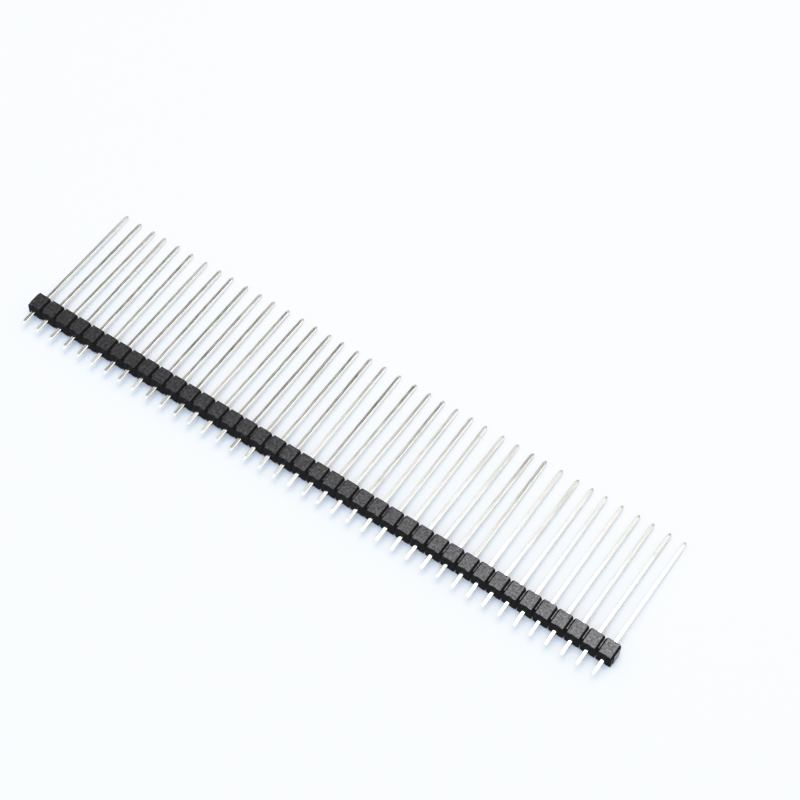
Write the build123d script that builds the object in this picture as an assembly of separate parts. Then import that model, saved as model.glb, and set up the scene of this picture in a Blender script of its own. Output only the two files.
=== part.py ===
from build123d import *
import os

# Break-away pin header strip, lying on its side.
# X runs along the strip, Y along the pins with the long ends towards +Y, Z is up.
# The origin is in the middle of the strip's length and of the pins' length, level with the underside.

# Strip
pin_count = 40
pitch = 2.54

# Square pins with a tapered tip at both ends
pin_width = 0.64
pin_length = 25.0
tail_length = 2.9
tip_width = 0.3
tip_taper_length = 0.55

# Moulded housing
housing_depth = 2.54
housing_height = 2.5

# Break grooves across the top and the underside, between cells
groove_mouth = 0.68
groove_floor = 0.16
groove_depth = 0.45

# Upright notch between cells on the long-pin face, and slit between cells on the tail face
notch_mouth = 0.24
notch_depth = 0.22
slit_width = 0.2
slit_depth = 0.62

# Recesses round the pins: an open one on the tail face, one with a lip above and below on the long-pin face
recess_clearance = 0.04
tail_recess_depth = 0.12
long_recess_depth = 0.3
long_recess_lip = 0.22

# Places that follow from the sizes
strip_length = pin_count * pitch
tail_tip_y = -pin_length / 2
long_tip_y = pin_length / 2
tail_face_y = tail_tip_y + tail_length
long_face_y = tail_face_y + housing_depth
mid_height = housing_height / 2
pin_places = [(n + 0.5) * pitch - strip_length / 2 for n in range(pin_count)]
cell_borders = [n * pitch - strip_length / 2 for n in range(pin_count + 1)]
recess_width = pin_width + 2 * recess_clearance


def upright_plane(y):
    """Plane across the pins at y, seen from the tail side, with its middle at the pins' height."""
    return Plane((0, y, mid_height), x_dir=(1, 0, 0), z_dir=(0, -1, 0))


def break_groove():
    """Section of a break groove whose mouth lies on the sketch's X axis and whose floor lies below it."""
    half_mouth = groove_mouth / 2
    half_floor = groove_floor / 2
    corners = [(-half_mouth, 0), (-half_floor, -groove_depth), (half_floor, -groove_depth), (half_mouth, 0)]
    return make_face(Polyline(*corners, close=True))


def grooved_section():
    """Section across the pins: the row of cells with a groove at every border, above and below."""
    top_grooves = [Pos(x, mid_height) * break_groove() for x in cell_borders]
    low_grooves = [Pos(x, -mid_height) * Rot(Z=180) * break_groove() for x in cell_borders]
    return Rectangle(strip_length, housing_height) - top_grooves - low_grooves


def notched_plan():
    """Plan of the row: an upright notch at every border on one face, a slit at every border on the other."""
    half_notch = notch_mouth / 2
    half_depth = housing_depth / 2
    corners = [(-half_notch, 0), (0, -notch_depth), (half_notch, 0)]
    notch = make_face(Polyline(*corners, close=True))
    slit = Rectangle(slit_width, slit_depth, align=(Align.CENTER, Align.MIN))
    notches = [Pos(x, half_depth) * notch for x in cell_borders]
    slits = [Pos(x, -half_depth) * slit for x in cell_borders]
    return Rectangle(strip_length, housing_depth) - notches - slits


def cut_row(section, from_y, depth):
    """One section at every pin, as a solid that reaches from from_y towards the tails by depth."""
    row = Sketch() + [Pos(x, 0) * section for x in pin_places]
    return extrude(upright_plane(from_y) * row, amount=depth)


def make_housing():
    grooved = extrude(upright_plane(long_face_y) * grooved_section(), amount=housing_depth)
    plan_place = Pos(0, (long_face_y + tail_face_y) / 2)
    notched = extrude(plan_place * notched_plan(), amount=housing_height)
    body = grooved & notched
    hole = Rectangle(pin_width, pin_width)
    tail_recess = Rectangle(recess_width, housing_height)
    long_recess = Rectangle(recess_width, housing_height - 2 * long_recess_lip)
    body -= cut_row(hole, long_face_y, housing_depth)
    body -= cut_row(tail_recess, tail_face_y + tail_recess_depth, tail_recess_depth)
    body -= cut_row(long_recess, long_face_y, long_recess_depth)
    return body


def make_pin():
    """One pin in the middle of the strip, with the same tapered outline from above and from the side."""
    half_pin = pin_width / 2
    half_tip = tip_width / 2
    one_side = [
        (half_tip, tail_tip_y),
        (half_pin, tail_tip_y + tip_taper_length),
        (half_pin, long_tip_y - tip_taper_length),
        (half_tip, long_tip_y),
    ]
    other_side = [(-x, y) for x, y in reversed(one_side)]
    blank = extrude(make_face(Polyline(*one_side, *other_side, close=True)), amount=half_pin, both=True)
    return Pos(0, 0, mid_height) * (blank & Rot(Y=90) * blank)


os.makedirs("parts", exist_ok=True)
export_step(make_housing(), "parts/housing.step")
pin = make_pin()
for number, x in enumerate(pin_places, start=1):
    export_step(Pos(x, 0) * pin, f"parts/pin_{number:02d}.step")
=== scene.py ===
import math

import bpy
from bpy.props import FloatProperty, FloatVectorProperty, IntProperty, PointerProperty
from bpy.types import NodeSocket, Operator, Panel, PropertyGroup
from mathutils import Matrix, Quaternion, Vector


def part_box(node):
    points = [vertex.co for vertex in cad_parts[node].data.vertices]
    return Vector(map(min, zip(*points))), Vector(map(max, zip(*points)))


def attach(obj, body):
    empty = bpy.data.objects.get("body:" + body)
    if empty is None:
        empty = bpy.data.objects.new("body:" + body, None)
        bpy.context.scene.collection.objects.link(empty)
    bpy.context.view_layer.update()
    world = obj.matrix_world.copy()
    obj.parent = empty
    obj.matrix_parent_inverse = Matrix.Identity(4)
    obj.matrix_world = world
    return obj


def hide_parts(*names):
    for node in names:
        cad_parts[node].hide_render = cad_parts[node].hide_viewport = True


bl_info = {
    "name": "Pin header strip",
    "version": (1, 0, 0),
    "blender": (4, 5, 0),
    "location": "3D View > Sidebar > Pin header",
    "description": "Builds the housing and pins of a break-away header strip, and a stage to look at it on",
    "category": "Object",
}

MM = 0.001
BODY = "root"

# The frame, and the places that follow from it
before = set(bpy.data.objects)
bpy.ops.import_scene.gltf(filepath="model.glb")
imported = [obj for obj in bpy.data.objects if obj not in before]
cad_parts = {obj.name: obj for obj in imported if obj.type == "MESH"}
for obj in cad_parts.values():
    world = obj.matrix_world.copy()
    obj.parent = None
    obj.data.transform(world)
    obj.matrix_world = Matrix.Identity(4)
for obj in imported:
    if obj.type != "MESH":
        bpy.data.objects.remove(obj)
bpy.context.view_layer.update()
housing_low, housing_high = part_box("housing")
housing_middle = (housing_low + housing_high) / 2
housing_size = housing_high - housing_low
pin_nodes = sorted(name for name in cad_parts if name.startswith("pin_"))
pin_count = len(pin_nodes)
pin_low, pin_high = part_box(pin_nodes[0])
pin_middle = (pin_low + pin_high) / 2
pin_width = pin_high.x - pin_low.x
pitch = (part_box(pin_nodes[-1])[0].x - pin_low.x) / (pin_count - 1)

# Cutting the housing: a cut is longer than the side it passes through, and corners closer than this are one
OVERRUN_SHARE = 1.5
MERGE_DISTANCE = 0.001 * MM

# Edges of the housing that are rounded: sharper than this, and farther from a pin than its recess reaches
SHARP_ANGLE = math.radians(32)
RECESS_REACH_SHARE = 0.51

# A face whose normal rises or falls by more than this is one of the flats above and below, which get the
# painted sheen
FLAT_RISE = 0.9

# Where most values of a noise texture lie, and their middle
NOISE_RANGE = (0.3, 0.7)
NOISE_MIDDLE = 0.5

# Results of a ramp that goes from all to nothing
FADE_OUT = (1.0, 0.0)

# Finish of the plastic
GRAIN_DETAIL = 2.0
GRAIN_BUMP = 0.42
GRAIN_HEIGHT_SHARE = 0.12
BLOTCH_GRAINS = 4.0
BLOTCH_DETAIL = 3.0
MOTTLE_RANGE = (0.32, 0.68)
MOTTLE_SHARES = (0.5, 1.5)
PLASTIC_ROUGHNESS = (0.07, 0.16)
SPECK_EDGE_SHARES = (0.12, 0.22)
SPECKLESS_SHARE = 0.45
TORN_CORE_SHARE = 0.4

# Finish of the tin plate
STREAK_SCALE = 1.0
STREAK_DETAIL = 1.0
STREAK_BUMP = 0.26
STREAK_HEIGHT = 0.02 * MM
PATCH_SCALE = 0.35
PATCH_DETAIL = 2.0
PATCH_RANGE = (0.42, 0.62)
TIN_ROUGHNESS = (0.07, 0.15)

# Finish of the table
CLOUD_SIZE = 125 * MM
CLOUD_DETAIL = 2.0
CLOUD_SHARE = 0.985
TABLE_ROUGHNESS = 0.55
TABLE_SHEEN = 0.2

# Parts of a direction of length 1 between which the room's light changes: front to back, and low to high
FRONT_TO_BACK = (-0.4, 0.4)
LOW_TO_HIGH = (0.3, 0.8)

# Distances between which the camera sees
CAMERA_CLIP = (0.01, 20.0)

# Film response: an amount of light, and the tone that it gives
RESPONSE = (
    (0.0, 0.0105), (0.2, 0.205), (0.5, 0.555),
    (0.72, 0.785), (0.85, 0.885), (0.95, 0.934),
    (1.04, 0.968), (1.15, 0.988), (1.5, 1.0),
)

# Sockets of a Mix node that take and give colours
MIX_FIRST, MIX_SECOND, MIX_RESULT = 6, 7, 2

# Turns about the axes
UNTURNED = (0.0, 0.0, 0.0)
QUARTER_TURN = math.pi / 2
HALF_TURN = math.pi


class HousingSettings(PropertyGroup):
    """Sizes and finish of the moulded housing."""

    groove_mouth: FloatProperty(
        name="Groove mouth", description="Width of a break groove at the surface",
        default=0.68 * MM, unit="LENGTH")
    groove_floor: FloatProperty(
        name="Groove floor", description="Width of a break groove at its floor",
        default=0.16 * MM, unit="LENGTH")
    groove_depth: FloatProperty(
        name="Groove depth", description="Depth of a break groove on the top",
        default=0.45 * MM, unit="LENGTH")
    under_groove_depth: FloatProperty(
        name="Underside groove depth", description="Depth of a break groove on the underside",
        default=0.15 * MM, unit="LENGTH")
    notch_mouth: FloatProperty(
        name="Notch mouth", description="Width of the upright notch between cells on the long-pin face",
        default=0.24 * MM, unit="LENGTH")
    notch_depth: FloatProperty(
        name="Notch depth", description="Depth of the upright notch between cells on the long-pin face",
        default=0.22 * MM, unit="LENGTH")
    slit_width: FloatProperty(
        name="Slit width", description="Width of the slit between cells on the tail face",
        default=0.2 * MM, unit="LENGTH")
    slit_depth: FloatProperty(
        name="Slit depth", description="Depth of the slit between cells on the tail face",
        default=0.62 * MM, unit="LENGTH")
    recess_clearance: FloatProperty(
        name="Recess clearance", description="Room beside a pin in the recesses round it",
        default=0.04 * MM, unit="LENGTH")
    tail_recess_depth: FloatProperty(
        name="Tail recess depth", description="Depth of the open recess round a pin on the tail face",
        default=0.07 * MM, unit="LENGTH")
    long_recess_depth: FloatProperty(
        name="Long recess depth", description="Depth of the recess round a pin on the long-pin face",
        default=0.3 * MM, unit="LENGTH")
    long_recess_lip: FloatProperty(
        name="Long recess lip", description="Plastic left above and below the recess on the long-pin face",
        default=0.22 * MM, unit="LENGTH")
    edge_radius: FloatProperty(
        name="Edge radius", description="Rounding of the moulded edges",
        default=0.05 * MM, unit="LENGTH")
    edge_segments: IntProperty(
        name="Edge segments", description="Faces across a rounded edge", default=3)
    torn_depth: FloatProperty(
        name="Torn depth", description="How far in from the ends the snapped plastic shows pale",
        default=0.06 * MM, unit="LENGTH")
    grain_size: FloatProperty(
        name="Grain size", description="Spacing of the fine moulded grain",
        default=0.09 * MM, unit="LENGTH")
    speck_spacing: FloatProperty(
        name="Speck spacing", description="Spacing of the glinting specks in the plastic",
        default=0.55 * MM, unit="LENGTH")
    plastic_colour: FloatVectorProperty(
        name="Plastic colour", description="Colour of the moulded plastic",
        default=(0.0015, 0.0015, 0.002), subtype="COLOR")
    torn_colour: FloatVectorProperty(
        name="Torn colour", description="Colour of the plastic where the strip was snapped off",
        default=(0.2, 0.2, 0.21), subtype="COLOR")
    sheen_colour: FloatVectorProperty(
        name="Sheen colour", description="Tint of the plastic's sheen",
        default=(0.93, 0.93, 1.0), subtype="COLOR")
    # painted sheen: the walls get almost none and the flats above and below a strong one, so the flats read
    # lit and the walls shaded
    painted_wall_sheen: FloatProperty(
        name="Painted wall sheen", description="Sheen of the walls", default=0.008)
    painted_flat_sheen: FloatProperty(
        name="Painted flat sheen", description="Sheen of the scuffed flats above and below", default=0.98)
    speck_sheen: FloatProperty(
        name="Speck sheen", description="Sheen that a speck adds, as a share of the sheen round it",
        default=0.8)


class PinSettings(PropertyGroup):
    """Sizes and finish of the pins."""

    tip_width: FloatProperty(
        name="Tip width", description="Width of the flat at the end of a pin",
        default=0.3 * MM, unit="LENGTH")
    taper_length: FloatProperty(
        name="Taper length", description="Length of the tapered stretch at both ends of a pin",
        default=0.55 * MM, unit="LENGTH")
    taper_bulge: FloatProperty(
        name="Taper bulge", description="Power of the taper: under 1 the taper is rounded outwards",
        default=0.8)
    taper_rings: IntProperty(
        name="Taper rings", description="Rings of faces along one taper", default=6)
    edge_radius: FloatProperty(
        name="Edge radius", description="Rounding of a pin's long edges",
        default=0.1 * MM, unit="LENGTH")
    edge_segments: IntProperty(
        name="Edge segments", description="Faces across a rounded edge", default=4)
    sway: FloatProperty(
        name="Sway", description="How far a pin may point to one side",
        default=math.radians(0.65), subtype="ANGLE")
    lift: FloatProperty(
        name="Lift", description="How far a pin may point up or down",
        default=math.radians(0.12), subtype="ANGLE")
    twist: FloatProperty(
        name="Twist", description="How far a pin may be turned about its length",
        default=math.radians(1.25), subtype="ANGLE")
    seed: IntProperty(
        name="Seed", description="Seed of the pins' small differences", default=7)
    plate_colour: FloatVectorProperty(
        name="Plate colour", description="Colour of the bright tin plate",
        default=(0.83, 0.816, 0.778), subtype="COLOR")
    dull_colour: FloatVectorProperty(
        name="Dull colour", description="Colour of the duller patches in the plate",
        default=(0.64, 0.63, 0.59), subtype="COLOR")
    streak_width: FloatProperty(
        name="Streak width", description="Spacing of the drawn streaks across a pin",
        default=0.2 * MM, unit="LENGTH")
    streak_length: FloatProperty(
        name="Streak length", description="Length of the drawn streaks along a pin",
        default=1.6 * MM, unit="LENGTH")


class StageSettings(PropertyGroup):
    """Floor, light and camera."""

    floor_size: FloatProperty(
        name="Floor size", description="Side of the square floor", default=6.0, unit="LENGTH")
    floor_colour: FloatVectorProperty(
        name="Floor colour", description="Colour of the pale floor",
        default=(0.838, 0.838, 0.84), subtype="COLOR")
    softbox_size: FloatVectorProperty(
        name="Softbox size", description="Width and depth of the overhead light",
        default=(0.4, 0.43), size=2, unit="LENGTH")
    softbox_place: FloatVectorProperty(
        name="Softbox place", description="Middle of the overhead light",
        default=(-0.009, 0.074, 0.55), subtype="TRANSLATION", unit="LENGTH")
    softbox_turn: FloatProperty(
        name="Softbox turn", description="Turn of the overhead light about the upright",
        default=math.radians(27), subtype="ANGLE")
    softbox_power: FloatProperty(
        name="Softbox power", description="Power of the overhead light", default=1.3, unit="POWER")
    softbox_colour: FloatVectorProperty(
        name="Softbox colour", description="Colour of the overhead light",
        default=(1.0, 0.985, 0.95), subtype="COLOR")
    back_colour: FloatVectorProperty(
        name="Back colour", description="Light of the room behind the strip",
        default=(1.05, 1.04, 1.0), soft_max=2.0, subtype="COLOR")
    front_colour: FloatVectorProperty(
        name="Front colour", description="Light of the room in front of the strip",
        default=(1.12, 1.38, 1.8), soft_max=2.0, subtype="COLOR")
    horizon_share: FloatProperty(
        name="Horizon share", description="Light low down in the room, as a share of the light higher up",
        default=0.45, subtype="FACTOR")
    gap_turn: FloatProperty(
        name="Gap turn", description="Turn about the upright of the dim gap between the lights",
        default=math.radians(31.6), subtype="ANGLE")
    gap_place: FloatProperty(
        name="Gap place", description="How far back the gap is, as a part of a direction of length 1",
        default=0.568)
    gap_width: FloatProperty(
        name="Gap width", description="Half the gap's width, as a part of a direction of length 1",
        default=0.056)
    gap_share: FloatProperty(
        name="Gap share", description="Light in the middle of the gap, as a share of the light beside it",
        default=0.08, subtype="FACTOR")
    camera_place: FloatVectorProperty(
        name="Camera place", description="Where the camera stands",
        default=(91.5 * MM, -135.9 * MM, 260.0 * MM), subtype="TRANSLATION", unit="LENGTH")
    camera_aim: FloatVectorProperty(
        name="Camera aim", description="Point at the middle of the picture",
        default=(3.5 * MM, 9.0 * MM, 1.25 * MM), subtype="TRANSLATION", unit="LENGTH")
    camera_roll: FloatProperty(
        name="Camera roll", description="Turn of the camera about its view",
        default=math.radians(3.56), subtype="ANGLE")
    camera_lens: FloatProperty(
        name="Camera lens", description="Focal length on a sensor 36 mm wide", default=95.6, unit="CAMERA")


class TreeMaker:
    """Adds nodes to a node tree. An input is given as a plain value or as another node's output."""

    def __init__(self, tree):
        self.tree = tree

    def feed(self, socket, value):
        if isinstance(value, NodeSocket):
            self.tree.links.new(value, socket)
        else:
            socket.default_value = value

    def add(self, kind, inputs=None, **settings):
        node = self.tree.nodes.new(kind)
        for name, value in settings.items():
            setattr(node, name, value)
        for name, value in (inputs or {}).items():
            self.feed(node.inputs[name], value)
        return node

    def math(self, operation, *values):
        node = self.add("ShaderNodeMath", operation=operation)
        for socket, value in zip(node.inputs, values):
            self.feed(socket, value)
        return node.outputs[0]

    def half(self, value):
        return self.math("MULTIPLY", value, 0.5)

    def double(self, value):
        return self.math("MULTIPLY", value, 2.0)

    def minus(self, value):
        return self.math("MULTIPLY", value, -1.0)

    def vector(self, x=0.0, y=0.0, z=0.0):
        return self.add("ShaderNodeCombineXYZ", {"X": x, "Y": y, "Z": z}).outputs[0]

    def axis(self, vector, name):
        return self.add("ShaderNodeSeparateXYZ", {"Vector": vector}).outputs[name]

    def between(self, share, first, second):
        """The number that lies that share of the way from the first to the second."""
        numbers = {"Factor": share, "A": first, "B": second}
        return self.add("ShaderNodeMix", numbers, data_type="FLOAT").outputs[0]

    def blend(self, share, first, second):
        """The colour that lies that share of the way from the first to the second."""
        colours = {"Factor": share, MIX_FIRST: (*first, 1), MIX_SECOND: (*second, 1)}
        return self.add("ShaderNodeMix", colours, data_type="RGBA").outputs[MIX_RESULT]

    def ramp(self, value, ends, results=(0.0, 1.0)):
        """Goes evenly from one result to the other as the value goes from end to end, and no farther."""
        node = self.add("ShaderNodeMapRange", {"Value": value})
        self.feed(node.inputs["From Min"], ends[0])
        self.feed(node.inputs["From Max"], ends[1])
        self.feed(node.inputs["To Min"], results[0])
        self.feed(node.inputs["To Max"], results[1])
        return node.outputs[0]

    def noise(self, place, scale, detail, draw=None):
        """Smooth noise. Each draw, where one is given, has a pattern of its own."""
        node = self.add("ShaderNodeTexNoise", {"Vector": place, "Scale": scale, "Detail": detail})
        if draw is not None:
            node.noise_dimensions = "4D"
            self.feed(node.inputs["W"], draw)
        return node.outputs[0]


class Finish(TreeMaker):
    """A material whose patterns lie in the piece's own space."""

    def __init__(self, name):
        self.material = bpy.data.materials.new(name)
        self.material.use_nodes = True
        super().__init__(self.material.node_tree)
        self.place = self.add("ShaderNodeTexCoord").outputs["Object"]

    def attribute(self, name):
        return self.add("ShaderNodeAttribute", attribute_name=name).outputs["Fac"]

    def bump(self, height, strength, distance):
        inputs = {"Height": height, "Strength": strength, "Distance": distance}
        return self.add("ShaderNodeBump", inputs).outputs[0]

    def dress(self, inputs):
        """Gives the shader its inputs, and returns the material."""
        shader = self.tree.nodes["Principled BSDF"]
        for name, value in inputs.items():
            self.feed(shader.inputs[name], value)
        return self.material


class RowTree(TreeMaker):
    """A Geometry Nodes tree with named inputs, whose result becomes the mesh of one piece."""

    def __init__(self, name, numbers, material):
        super().__init__(bpy.data.node_groups.new(name, "GeometryNodeTree"))
        self.values = {}
        kinds = {int: "NodeSocketInt", float: "NodeSocketFloat"}
        interface = self.tree.interface
        for label, value in numbers.items():
            socket = interface.new_socket(name=label, in_out="INPUT", socket_type=kinds[type(value)])
            self.values[socket.identifier] = value
        socket = interface.new_socket(name="Material", in_out="INPUT", socket_type="NodeSocketMaterial")
        self.values[socket.identifier] = material
        interface.new_socket(name="Geometry", in_out="OUTPUT", socket_type="NodeSocketGeometry")
        self.given = self.add("NodeGroupInput").outputs

    def flat_faces(self, geometry):
        """The same faces, shaded flat."""
        inputs = {"Geometry": geometry, "Shade Smooth": False}
        return self.add("GeometryNodeSetShadeSmooth", inputs).outputs[0]

    def store(self, geometry, name, value, domain):
        """The same geometry, with a number stored under that name on each of its edges, faces or copies."""
        inputs = {"Geometry": geometry, "Name": name, "Value": value}
        node = self.add("GeometryNodeStoreNamedAttribute", inputs, data_type="FLOAT", domain=domain)
        return node.outputs[0]

    def finish(self, geometry):
        """Ends the tree with real faces in the given material."""
        real = self.add("GeometryNodeRealizeInstances", {"Geometry": geometry}).outputs[0]
        inputs = {"Geometry": real, "Material": self.given["Material"]}
        dressed = self.add("GeometryNodeSetMaterial", inputs).outputs[0]
        self.add("NodeGroupOutput", {"Geometry": dressed})

    def make_piece(self, name, context, finish_modifiers=None):
        """A piece whose plain mesh is this tree's result."""
        piece = bpy.data.objects.new(name, bpy.data.meshes.new(name))
        context.scene.collection.objects.link(piece)
        modifier = piece.modifiers.new(name, "NODES")
        modifier.node_group = self.tree
        for identifier, value in self.values.items():
            modifier[identifier] = value
        if finish_modifiers:
            finish_modifiers(piece)
        made = piece.evaluated_get(context.evaluated_depsgraph_get())
        mesh = bpy.data.meshes.new_from_object(made)
        if not mesh.polygons:
            raise RuntimeError(f"the tree of {name} made no faces")
        empty_slots = [index for index, material in enumerate(mesh.materials) if material is None]
        for index in reversed(empty_slots):
            mesh.materials.pop(index=index)
        piece.modifiers.clear()
        piece.data = mesh
        return piece


# Housing


def plastic_material(settings):
    """Black glass-filled plastic: fine grain, glinting specks, and paler where the strip was snapped."""
    finish = Finish("black_plastic")
    grain = finish.noise(finish.place, 1 / settings.grain_size, GRAIN_DETAIL)
    blotch = finish.noise(finish.place, 1 / (BLOTCH_GRAINS * settings.grain_size), BLOTCH_DETAIL)

    voronoi = finish.add(
        "ShaderNodeTexVoronoi", {"Vector": finish.place, "Scale": 1 / settings.speck_spacing})
    chosen = finish.math("GREATER_THAN", finish.axis(voronoi.outputs["Color"], "X"), SPECKLESS_SHARE)
    near_middle = finish.ramp(voronoi.outputs["Distance"], SPECK_EDGE_SHARES, FADE_OUT)
    speck = finish.math("MULTIPLY", near_middle, chosen)

    from_middle = finish.math("ABSOLUTE", finish.axis(finish.place, "X"))
    from_end = finish.math("SUBTRACT", housing_size.x / 2, from_middle)
    unevenness = finish.math("MULTIPLY", finish.math("SUBTRACT", blotch, NOISE_MIDDLE), settings.torn_depth)
    torn_ends = (TORN_CORE_SHARE * settings.torn_depth, settings.torn_depth)
    torn = finish.ramp(finish.math("ADD", from_end, unevenness), torn_ends, FADE_OUT)

    # painted sheen: strong on the flats above and below and almost none on the walls, so the tops read lit
    # and the walls shaded
    painted_sheen_range = (settings.painted_wall_sheen, settings.painted_flat_sheen)
    sheen = finish.ramp(finish.attribute("painted_sheen"), (0.0, 1.0), painted_sheen_range)
    mottle = finish.ramp(blotch, MOTTLE_RANGE, MOTTLE_SHARES)
    glint = finish.math("ADD", mottle, finish.math("MULTIPLY", speck, settings.speck_sheen))
    return finish.dress({
        "Base Color": finish.blend(torn, settings.plastic_colour, settings.torn_colour),
        "Roughness": finish.ramp(blotch, NOISE_RANGE, PLASTIC_ROUGHNESS),
        "Specular IOR Level": finish.math("MULTIPLY", sheen, glint),
        "Specular Tint": (*settings.sheen_colour, 1),
        "Normal": finish.bump(grain, GRAIN_BUMP, GRAIN_HEIGHT_SHARE * settings.grain_size),
    })


def bar(tree, profile, length, turn=UNTURNED):
    """A straight bar of that profile, as long as given, with its middle at the origin."""
    reach = tree.half(length)
    ends = {"Start": tree.vector(z=tree.minus(reach)), "End": tree.vector(z=reach)}
    spine = tree.add("GeometryNodeCurvePrimitiveLine", ends)
    solid = tree.add(
        "GeometryNodeCurveToMesh",
        {"Curve": spine.outputs[0], "Profile Curve": profile, "Fill Caps": True})
    turned = tree.add("GeometryNodeTransform", {"Geometry": solid.outputs[0], "Rotation": turn})
    return turned.outputs[0]


def groove_bar(tree, depth, length):
    """Bar that cuts a break groove: its profile reaches as far above the surface as below it."""
    wide = tree.math("SUBTRACT", tree.double(tree.given["Groove Mouth"]), tree.given["Groove Floor"])
    profile = tree.add(
        "GeometryNodeCurvePrimitiveQuadrilateral",
        {"Bottom Width": tree.given["Groove Floor"], "Top Width": wide,
         "Height": tree.double(depth), "Offset": 0.0},
        mode="TRAPEZOID")
    return bar(tree, profile.outputs[0], length, turn=(QUARTER_TURN, 0.0, 0.0))


def block(tree, x, y, z):
    """A box with its middle at the origin."""
    return tree.add("GeometryNodeMeshCube", {"Size": tree.vector(x, y, z)}).outputs["Mesh"]


def row_of(tree, shape, count, y, z, turn=UNTURNED):
    """Copies of a shape, one pitch apart along the strip and centred on it, at that depth and height."""
    step = tree.given["Pitch"]
    steps_to_first = tree.minus(tree.half(tree.math("SUBTRACT", count, 1.0)))
    first = tree.vector(tree.math("MULTIPLY", steps_to_first, step), y, z)
    line = tree.add(
        "GeometryNodeMeshLine", {"Count": count, "Start Location": first, "Offset": tree.vector(step)})
    copies = tree.add(
        "GeometryNodeInstanceOnPoints", {"Points": line.outputs[0], "Instance": shape, "Rotation": turn})
    return copies.outputs[0]


def housing_tree(settings, material):
    """The row of cells: a long block with grooves, notches, slits, recesses and pin holes cut out of it."""
    numbers = {
        "Cells": pin_count, "Pitch": pitch, "Pin Width": pin_width,
        "Length": housing_size.x, "Depth": housing_size.y, "Height": housing_size.z,
        "Groove Mouth": settings.groove_mouth, "Groove Floor": settings.groove_floor,
        "Groove Depth": settings.groove_depth, "Under Groove Depth": settings.under_groove_depth,
        "Notch Mouth": settings.notch_mouth, "Notch Depth": settings.notch_depth,
        "Slit Width": settings.slit_width, "Slit Depth": settings.slit_depth,
        "Recess Clearance": settings.recess_clearance, "Tail Recess Depth": settings.tail_recess_depth,
        "Long Recess Depth": settings.long_recess_depth, "Long Recess Lip": settings.long_recess_lip,
    }
    tree = RowTree("housing_row", numbers, material)
    given = tree.given
    cells, depth, height, pin_hole = given["Cells"], given["Depth"], given["Height"], given["Pin Width"]
    borders = tree.math("ADD", cells, 1.0)
    long_face = tree.half(depth)
    tail_face = tree.minus(long_face)
    top_face = tree.half(height)
    low_face = tree.minus(top_face)
    past_depth = tree.math("MULTIPLY", depth, OVERRUN_SHARE)
    past_height = tree.math("MULTIPLY", height, OVERRUN_SHARE)
    recess_width = tree.math("ADD", pin_hole, tree.double(given["Recess Clearance"]))

    groove = groove_bar(tree, given["Groove Depth"], past_depth)
    under_groove = groove_bar(tree, given["Under Groove Depth"], past_depth)
    notch_depth = given["Notch Depth"]
    notch_profile = tree.add(
        "GeometryNodeCurvePrimitiveQuadrilateral",
        {"Width": given["Notch Mouth"], "Bottom Height": notch_depth, "Top Height": notch_depth},
        mode="KITE")
    notch = bar(tree, notch_profile.outputs[0], past_height)
    slit = block(tree, given["Slit Width"], tree.double(given["Slit Depth"]), past_height)
    hole = block(tree, pin_hole, past_depth, pin_hole)
    tail_recess = block(tree, recess_width, tree.double(given["Tail Recess Depth"]), past_height)
    between_lips = tree.math("SUBTRACT", height, tree.double(given["Long Recess Lip"]))
    long_recess = block(tree, recess_width, tree.double(given["Long Recess Depth"]), between_lips)

    cuts = [
        row_of(tree, groove, borders, 0.0, top_face),
        row_of(tree, under_groove, borders, 0.0, low_face, turn=(0.0, HALF_TURN, 0.0)),
        row_of(tree, notch, borders, long_face, 0.0),
        row_of(tree, slit, borders, tail_face, 0.0),
        row_of(tree, hole, cells, 0.0, 0.0),
        row_of(tree, tail_recess, cells, tail_face, 0.0),
        row_of(tree, long_recess, cells, long_face, 0.0),
    ]
    carved = tree.add("GeometryNodeMeshBoolean", operation="DIFFERENCE", solver="EXACT")
    tree.feed(carved.inputs["Mesh 1"], block(tree, given["Length"], depth, height))
    for cut in cuts:
        tree.feed(carved.inputs["Mesh 2"], cut)
    clean = tree.add(
        "GeometryNodeMergeByDistance", {"Geometry": carved.outputs[0], "Distance": MERGE_DISTANCE})
    flat = tree.flat_faces(clean.outputs[0])
    placed = tree.add("GeometryNodeTransform", {"Geometry": flat, "Translation": tuple(housing_middle)})

    # the edges that a mould rounds: every sharp one but those of the recesses and pin holes
    along = tree.axis(tree.add("GeometryNodeInputPosition").outputs[0], "X")
    from_pin = tree.math(
        "PINGPONG", tree.math("SUBTRACT", along, pin_middle.x), tree.half(given["Pitch"]))
    outside = tree.math("GREATER_THAN", from_pin, tree.math("MULTIPLY", recess_width, RECESS_REACH_SHARE))
    angle = tree.add("GeometryNodeInputMeshEdgeAngle").outputs["Unsigned Angle"]
    sharp = tree.math("GREATER_THAN", angle, SHARP_ANGLE)
    rounding = tree.math("MULTIPLY", outside, sharp)
    weighted = tree.store(placed.outputs[0], "bevel_weight_edge", rounding, "EDGE")

    # the flats above and below get the painted sheen, so they read lit and the walls read shaded
    rise = tree.math("ABSOLUTE", tree.axis(tree.add("GeometryNodeInputNormal").outputs[0], "Z"))
    painted_sheen = tree.store(weighted, "painted_sheen", tree.math("GREATER_THAN", rise, FLAT_RISE), "FACE")
    tree.finish(painted_sheen)
    return tree


class HEADER_OT_housing(Operator):
    """Build the moulded housing with its rounded edges, break grooves and pin recesses"""

    bl_idname = "header.housing"
    bl_label = "Housing"

    def execute(self, context):
        settings = context.scene.header_housing

        def round_edges(piece):
            bevel = piece.modifiers.new("rounded_edges", "BEVEL")
            bevel.limit_method = "WEIGHT"
            bevel.width = settings.edge_radius
            bevel.segments = settings.edge_segments

        tree = housing_tree(settings, plastic_material(settings))
        piece = tree.make_piece("moulded_housing", context, round_edges)
        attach(piece, BODY)
        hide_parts("housing")
        return {"FINISHED"}


# Pins


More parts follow.
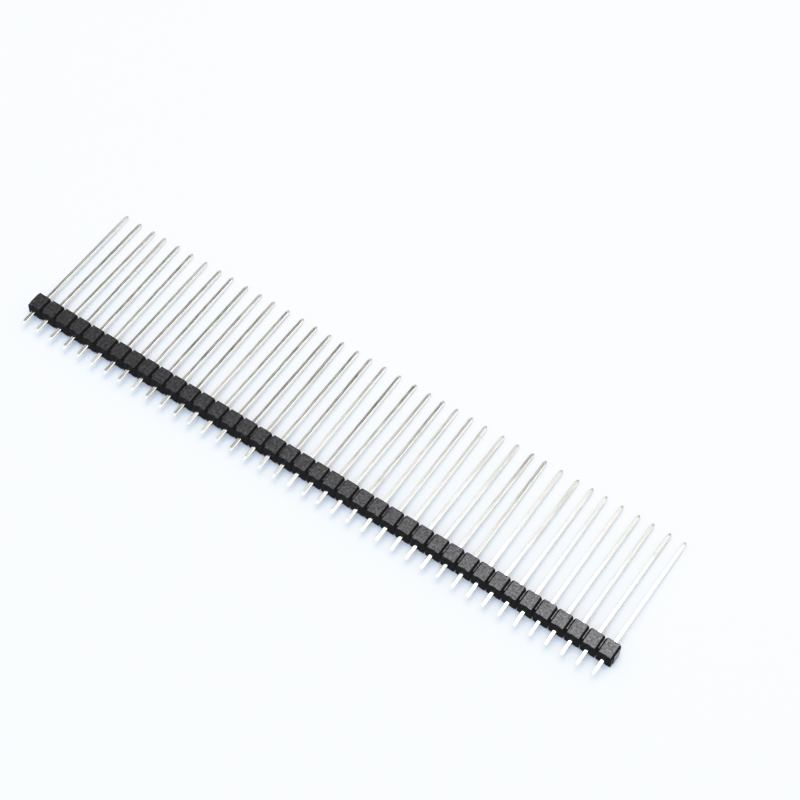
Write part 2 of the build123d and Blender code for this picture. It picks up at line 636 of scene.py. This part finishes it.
def tin_material(settings):
    """Bright tin plate: streaks along the pin, duller patches, and a small difference from pin to pin."""
    finish = Finish("tin_plate")
    across, along = 1 / settings.streak_width, 1 / settings.streak_length
    stretched = finish.add("ShaderNodeMapping", {"Vector": finish.place, "Scale": (across, along, across)})
    shade = finish.attribute("pin_shade")
    streak = finish.noise(stretched.outputs[0], STREAK_SCALE, STREAK_DETAIL, shade)
    patch = finish.noise(stretched.outputs[0], PATCH_SCALE, PATCH_DETAIL, shade)
    dullness = finish.math("MULTIPLY", finish.ramp(patch, PATCH_RANGE), shade)
    return finish.dress({
        "Metallic": 1.0,
        "Base Color": finish.blend(dullness, settings.plate_colour, settings.dull_colour),
        "Roughness": finish.ramp(streak, NOISE_RANGE, TIN_ROUGHNESS),
        "Normal": finish.bump(streak, STREAK_BUMP, STREAK_HEIGHT),
    })


def pin_tree(settings, material):
    """The row of pins: square wires with rounded edges and tapered ends, each turned a little at random."""
    numbers = {
        "Pins": pin_count, "Pitch": pitch, "Width": pin_width,
        "Tail Reach": housing_middle.y - pin_low.y, "Long Reach": pin_high.y - housing_middle.y,
        "Tip Width": settings.tip_width, "Taper Length": settings.taper_length,
        "Taper Bulge": settings.taper_bulge, "Taper Rings": settings.taper_rings,
        "Edge Radius": settings.edge_radius, "Edge Segments": settings.edge_segments,
        "Sway": settings.sway, "Lift": settings.lift, "Twist": settings.twist, "Seed": settings.seed,
    }
    tree = RowTree("pin_row", numbers, material)
    given = tree.given
    rings, width = given["Taper Rings"], given["Width"]

    # points from tip to tip, close together in the tapers and with none in between
    point_count = tree.double(tree.math("ADD", rings, 1.0))
    index = tree.add("GeometryNodeInputIndex").outputs[0]
    from_last = tree.math("SUBTRACT", tree.math("SUBTRACT", point_count, 1.0), index)
    share = tree.math("DIVIDE", tree.math("MINIMUM", index, from_last), rings)
    inward = tree.math("MULTIPLY", share, given["Taper Length"])
    tail_y = tree.math("SUBTRACT", inward, given["Tail Reach"])
    long_y = tree.math("SUBTRACT", given["Long Reach"], inward)
    y = tree.between(tree.math("GREATER_THAN", index, rings), tail_y, long_y)
    line = tree.add("GeometryNodeMeshLine", {"Count": point_count})
    laid = tree.add("GeometryNodeSetPosition", {"Geometry": line.outputs[0], "Position": tree.vector(y=y)})
    spine = tree.add("GeometryNodeMeshToCurve", {"Mesh": laid.outputs[0]})

    tip_share = tree.math("DIVIDE", given["Tip Width"], width)
    girth = tree.between(tree.math("POWER", share, given["Taper Bulge"]), tip_share, 1.0)
    square = tree.add(
        "GeometryNodeCurvePrimitiveQuadrilateral", {"Width": width, "Height": width}, mode="RECTANGLE")
    rounded = tree.add(
        "GeometryNodeFilletCurve",
        {"Curve": square.outputs[0], "Count": given["Edge Segments"], "Radius": given["Edge Radius"]},
        mode="POLY")
    pin = tree.add(
        "GeometryNodeCurveToMesh",
        {"Curve": spine.outputs[0], "Profile Curve": rounded.outputs[0], "Scale": girth, "Fill Caps": True})

    reach = tree.vector(given["Lift"], given["Twist"], given["Sway"])
    back = tree.add("ShaderNodeVectorMath", {"Vector": reach, "Scale": -1.0}, operation="SCALE")
    turned = tree.add(
        "FunctionNodeRandomValue", {"Min": back.outputs[0], "Max": reach, "Seed": given["Seed"]},
        data_type="FLOAT_VECTOR")
    row = row_of(
        tree, tree.flat_faces(pin.outputs[0]), given["Pins"], housing_middle.y, pin_middle.z,
        turned.outputs["Value"])
    shade = tree.add("FunctionNodeRandomValue", {"Seed": given["Seed"]}, data_type="FLOAT")
    tree.finish(tree.store(row, "pin_shade", shade.outputs[1], "INSTANCE"))
    return tree


class HEADER_OT_pins(Operator):
    """Build the row of plated pins"""

    bl_idname = "header.pins"
    bl_label = "Pins"

    def execute(self, context):
        settings = context.scene.header_pins
        tree = pin_tree(settings, tin_material(settings))
        piece = tree.make_piece("plated_pins", context)
        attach(piece, BODY)
        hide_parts(*pin_nodes)
        return {"FINISHED"}


# Stage


def table_material(settings):
    """Pale smooth table top with a faint unevenness."""
    finish = Finish("pale_table")
    cloud = finish.noise(finish.place, 1 / CLOUD_SIZE, CLOUD_DETAIL)
    dimmer = [CLOUD_SHARE * part for part in settings.floor_colour]
    return finish.dress({
        "Base Color": finish.blend(cloud, settings.floor_colour, dimmer),
        "Roughness": TABLE_ROUGHNESS,
        "Specular IOR Level": TABLE_SHEEN,
    })


def add_floor(context, settings, taper_length):
    """Floor that the strip rests on, under the housing's long-pin edge and the long pins' shoulders."""
    edge = Vector((0, housing_high.y, housing_low.z))
    shoulder = Vector((0, pin_high.y - taper_length, pin_low.z))
    lean = math.atan2(shoulder.z - edge.z, shoulder.y - edge.y)
    half = settings.floor_size / 2
    corners = [(-half, -half, 0), (half, -half, 0), (half, half, 0), (-half, half, 0)]
    mesh = bpy.data.meshes.new("floor")
    mesh.from_pydata(corners, [], [(0, 1, 2, 3)])
    mesh.transform(Matrix.Translation(edge) @ Matrix.Rotation(lean, 4, "X"))
    mesh.materials.append(table_material(settings))
    floor = bpy.data.objects.new("floor", mesh)
    context.scene.collection.objects.link(floor)


def add_softbox(context, settings):
    """Wide light overhead, which the tops of the pins and cells mirror."""
    light = bpy.data.lights.new("softbox", "AREA")
    light.shape = "RECTANGLE"
    light.size, light.size_y = settings.softbox_size
    light.energy = settings.softbox_power
    light.color = settings.softbox_colour
    softbox = bpy.data.objects.new("softbox", light)
    softbox.location = settings.softbox_place
    softbox.rotation_euler = (0, 0, settings.softbox_turn)
    context.scene.collection.objects.link(softbox)


def add_room(context, settings):
    """Light of the room all round, dimmer towards the horizon, with a dark gap behind the strip."""
    world = bpy.data.worlds.new("room")
    world.use_nodes = True
    maker = TreeMaker(world.node_tree)
    direction = maker.add("ShaderNodeTexCoord").outputs["Generated"]
    behind = maker.ramp(maker.axis(direction, "Y"), FRONT_TO_BACK)
    above = maker.ramp(maker.axis(direction, "Z"), LOW_TO_HIGH, (settings.horizon_share, 1.0))
    backward = (-math.sin(settings.gap_turn), math.cos(settings.gap_turn), 0.0)
    how_far_back = maker.add("ShaderNodeVectorMath", {0: direction, 1: backward}, operation="DOT_PRODUCT")
    from_gap = maker.math(
        "ABSOLUTE", maker.math("SUBTRACT", how_far_back.outputs["Value"], settings.gap_place))
    beside_gap = maker.ramp(from_gap, (0.0, settings.gap_width), (settings.gap_share, 1.0))
    background = world.node_tree.nodes["Background"]
    maker.feed(background.inputs["Color"], maker.blend(behind, settings.front_colour, settings.back_colour))
    maker.feed(background.inputs["Strength"], maker.math("MULTIPLY", above, beside_gap))
    context.scene.world = world


def add_camera(context, settings):
    """Camera at the photograph's viewing angle."""
    data = bpy.data.cameras.new("camera")
    data.lens = settings.camera_lens
    data.clip_start, data.clip_end = CAMERA_CLIP
    camera = bpy.data.objects.new("camera", data)
    place, aim = Vector(settings.camera_place), Vector(settings.camera_aim)
    facing = (aim - place).to_track_quat("-Z", "Y")
    camera.rotation_mode = "QUATERNION"
    camera.rotation_quaternion = facing @ Quaternion((0, 0, 1), settings.camera_roll)
    camera.location = place
    context.scene.collection.objects.link(camera)
    context.scene.camera = camera


def set_response(context):
    """Film response with slightly hazy blacks and a soft shoulder, which keeps the table short of white."""
    view = context.scene.view_settings
    view.view_transform = "Standard"
    view.use_curve_mapping = True
    mapping = view.curve_mapping
    mapping.clip_max_x = RESPONSE[-1][0]
    mapping.extend = "HORIZONTAL"
    red_green_blue = mapping.curves[:3]
    for channel in red_green_blue:
        channel.points[0].location = RESPONSE[0]
        channel.points[-1].location = RESPONSE[-1]
        for light, tone in RESPONSE[1:-1]:
            channel.points.new(light, tone)
    mapping.update()


class HEADER_OT_stage(Operator):
    """Set up the floor, the light, the camera and the film response"""

    bl_idname = "header.stage"
    bl_label = "Stage"

    def execute(self, context):
        settings = context.scene.header_stage
        add_floor(context, settings, context.scene.header_pins.taper_length)
        add_softbox(context, settings)
        add_room(context, settings)
        add_camera(context, settings)
        set_response(context)
        return {"FINISHED"}


class HEADER_PT_sidebar(Panel):
    """Lists the pieces of the strip and the stage"""

    bl_label = "Pin header"
    bl_idname = "HEADER_PT_sidebar"
    bl_space_type = "VIEW_3D"
    bl_region_type = "UI"
    bl_category = "Pin header"

    def draw(self, context):
        scene = context.scene
        for operator, settings in (
            (HEADER_OT_housing, scene.header_housing),
            (HEADER_OT_pins, scene.header_pins),
            (HEADER_OT_stage, scene.header_stage),
        ):
            box = self.layout.box()
            box.operator(operator.bl_idname)
            for name in settings.__annotations__:
                box.prop(settings, name)


CLASSES = (
    HousingSettings, PinSettings, StageSettings,
    HEADER_OT_housing, HEADER_OT_pins, HEADER_OT_stage, HEADER_PT_sidebar,
)


def register():
    for cls in CLASSES:
        bpy.utils.register_class(cls)
    bpy.types.Scene.header_housing = PointerProperty(type=HousingSettings)
    bpy.types.Scene.header_pins = PointerProperty(type=PinSettings)
    bpy.types.Scene.header_stage = PointerProperty(type=StageSettings)


def unregister():
    del bpy.types.Scene.header_stage
    del bpy.types.Scene.header_pins
    del bpy.types.Scene.header_housing
    for cls in reversed(CLASSES):
        bpy.utils.unregister_class(cls)


def main():
    register()
    bpy.ops.header.housing()
    bpy.ops.header.pins()
    bpy.ops.header.stage()


if __name__ == "__main__":
    main()
